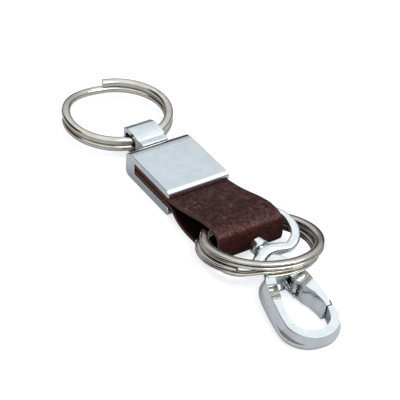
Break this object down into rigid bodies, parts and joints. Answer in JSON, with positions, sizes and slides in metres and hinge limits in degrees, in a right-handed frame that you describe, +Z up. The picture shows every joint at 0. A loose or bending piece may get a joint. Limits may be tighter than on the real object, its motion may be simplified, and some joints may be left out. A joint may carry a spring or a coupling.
{
  "type": "key ring",
  "caption": "Leather loop key ring with a polished clamp, a swivelling split ring, loose split rings and a snap clasp with a sprung gate.",
  "frame": {"origin": "centre of the clamp's flat underside, on the surface that the key ring lies on", "axes": "+Y from the clamp to the big split ring, -Y to the clasp, +X across, +Z up out of the surface"},
  "size_m": [0.033, 0.1222, 0.0132],
  "materials": {
    "polished_nickel": "polished nickel plate on cast zinc",
    "ring_nickel": "bright nickel plate on flat steel wire",
    "bright_steel": "bright drawn steel",
    "leather": "dark brown pebbled leather with cut edges"
  },
  "bodies": {
    "clamp": {"clamp_body": "polished_nickel", "leather_strap": "leather", "strap_pin": "polished_nickel"},
    "bail": {"bail": "polished_nickel", "bail_post": "bright_steel"},
    "main_ring": {"main_split_ring": "ring_nickel"},
    "upper_ring": {"loop_ring_upper": "ring_nickel"},
    "lower_ring": {"loop_ring_lower": "ring_nickel"},
    "eye": {"clasp_eye": "polished_nickel"},
    "clasp": {"swivel_rivet": "bright_steel", "clasp_hook": "polished_nickel", "gate_pin": "bright_steel", "gate_spring": "bright_steel"},
    "gate": {"gate": "polished_nickel"}
  },
  "joints": [
    {"name": "bail_swivel", "type": "hinge", "parent": "clamp", "child": "bail", "pos_m": [0, 0.0112, 0.0042], "axis": [0, 1, 0], "continuous": true},
    {"name": "main_ring_swing", "type": "hinge", "parent": "bail", "child": "main_ring", "pos_m": [0, 0.01725, 0.004], "axis": [1, 0, 0], "range_deg": [-90, 90]},
    {"name": "upper_ring_turn", "type": "hinge", "parent": "clamp", "child": "upper_ring", "pos_m": [0.00063, -0.04014, 0.00865], "axis": [0.0957, 0.1977, 0.9756], "continuous": true},
    {"name": "lower_ring_turn", "type": "hinge", "parent": "clamp", "child": "lower_ring", "pos_m": [-0.0004, -0.0398, 0.00635], "axis": [0.0957, 0.1977, 0.9756], "continuous": true},
    {"name": "eye_swing", "type": "hinge", "parent": "clamp", "child": "eye", "pos_m": [0.00018, -0.03091, 0.00554], "axis": [0.9709, 0.0453, 0.2351], "range_deg": [0, 12]},
    {"name": "clasp_swivel", "type": "hinge", "parent": "eye", "child": "clasp", "pos_m": [0.00075, -0.0439, 0.0057], "axis": [-0.0436, 0.999, -0.0122], "range_deg": [-4, 12]},
    {"name": "gate_swing", "type": "hinge", "parent": "clasp", "child": "gate", "pos_m": [0.00154, -0.05458, 0.00451], "axis": [0.0171, 0.1119, -0.9936], "range_deg": [0, 25], "stiffness_Nm_per_rad": 0.004, "springref_deg": -34.38}
  ]
}
